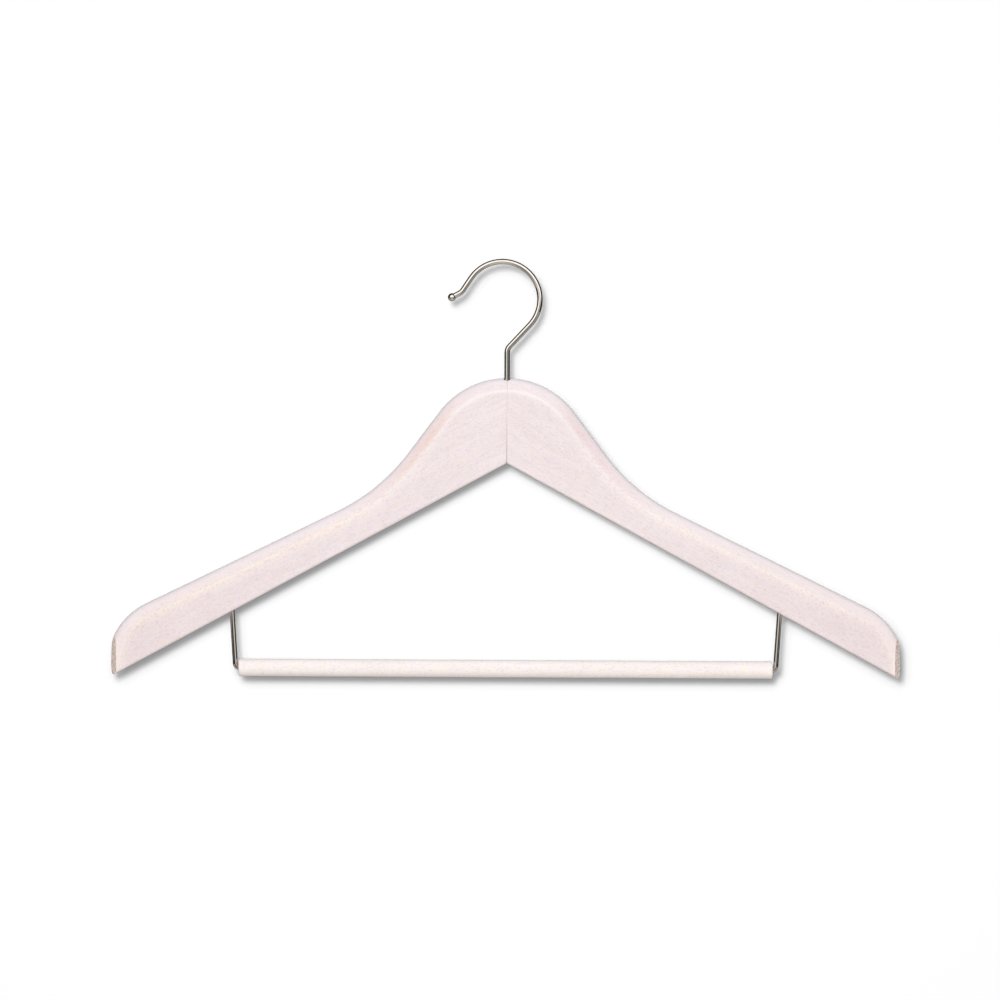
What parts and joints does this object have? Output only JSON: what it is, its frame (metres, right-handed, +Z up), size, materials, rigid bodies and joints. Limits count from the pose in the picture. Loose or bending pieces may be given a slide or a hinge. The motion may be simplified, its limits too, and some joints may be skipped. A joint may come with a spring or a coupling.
{
  "type": "trouser hanger",
  "caption": "contoured white-washed wooden suit hanger with a nickel swivel hook and a round wooden trouser bar on bent wires",
  "frame": {"origin": "underside of the hook's bow where a rail carries it, on the swivel axis", "axes": "+X along the shoulders, to the right seen from the front; +Z up; the front, where the arms bend to, towards -Y"},
  "size_m": [0.4506, 0.0449, 0.2405],
  "materials": {
    "washed_beech": "white-washed, thin satin lacquer",
    "plain_beech": "bare, turned",
    "nickel": "bright nickel plate on steel wire"
  },
  "bodies": {
    "hook": {"hook": "nickel"},
    "hanger": {"left_arm": "washed_beech", "right_arm": "washed_beech", "upper_dowel": "plain_beech", "lower_dowel": "plain_beech", "hook_sleeve": "nickel", "left_bar_wire": "nickel", "right_bar_wire": "nickel"},
    "trouser_bar": {"trouser_bar": "washed_beech"}
  },
  "joints": [
    {"name": "hook_swivel", "type": "hinge", "parent": "hook", "child": "hanger", "pos_m": [0, 0, -0.06527], "axis": [0, 0, 1], "continuous": true},
    {"name": "bar_roll", "type": "hinge", "parent": "hanger", "child": "trouser_bar", "pos_m": [0, -0.01258, -0.23213], "axis": [1, 0, 0], "continuous": true}
  ]
}
